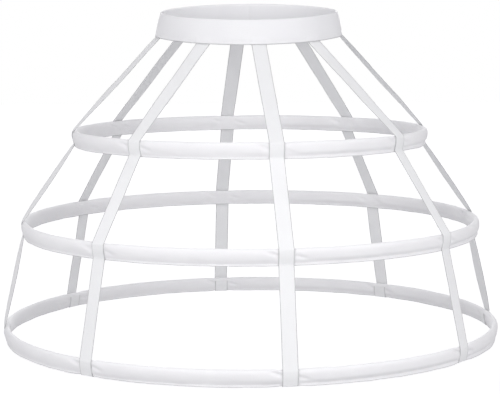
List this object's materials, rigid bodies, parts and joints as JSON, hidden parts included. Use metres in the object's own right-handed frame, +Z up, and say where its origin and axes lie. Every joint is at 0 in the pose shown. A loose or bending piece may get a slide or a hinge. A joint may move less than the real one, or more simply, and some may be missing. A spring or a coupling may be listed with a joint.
{
  "type": "crinoline cage",
  "caption": "Short white cage crinoline: an oval waistband with ribbon straps that hang boned fabric hoops, widening downwards, to hold a skirt out from the body.",
  "frame": {"origin": "middle of the waistband, on the axis of the hoops, at the band's middle height", "axes": "+Z up along the wearer's body, the front faces -Y, +X is to the right in a view of the front"},
  "size_m": [0.6969, 0.697, 0.466],
  "materials": {
    "band_cloth": "smooth satin weave, white",
    "ribbon": "fine ribbed ribbon, white",
    "casing_tape": "plain woven tape, white",
    "elastic": "knitted elastic, off-white",
    "bone_coating": "smooth white coating on spring steel",
    "sleeve_metal": "plain crimped metal"
  },
  "bodies": {
    "root": {"waistband": "band_cloth", "waist_elastic": "elastic", "front_strap": "ribbon", "front_right_strap": "ribbon", "right_strap": "ribbon", "back_right_strap": "ribbon", "back_strap": "ribbon", "back_left_strap": "ribbon", "left_strap": "ribbon", "front_left_strap": "ribbon", "top_casing": "casing_tape", "middle_casing": "casing_tape", "bottom_casing": "casing_tape", "top_bone": "bone_coating", "middle_bone": "bone_coating", "bottom_bone": "bone_coating", "top_sleeve": "sleeve_metal", "middle_sleeve": "sleeve_metal", "bottom_sleeve": "sleeve_metal"}
  },
  "joints": []
}
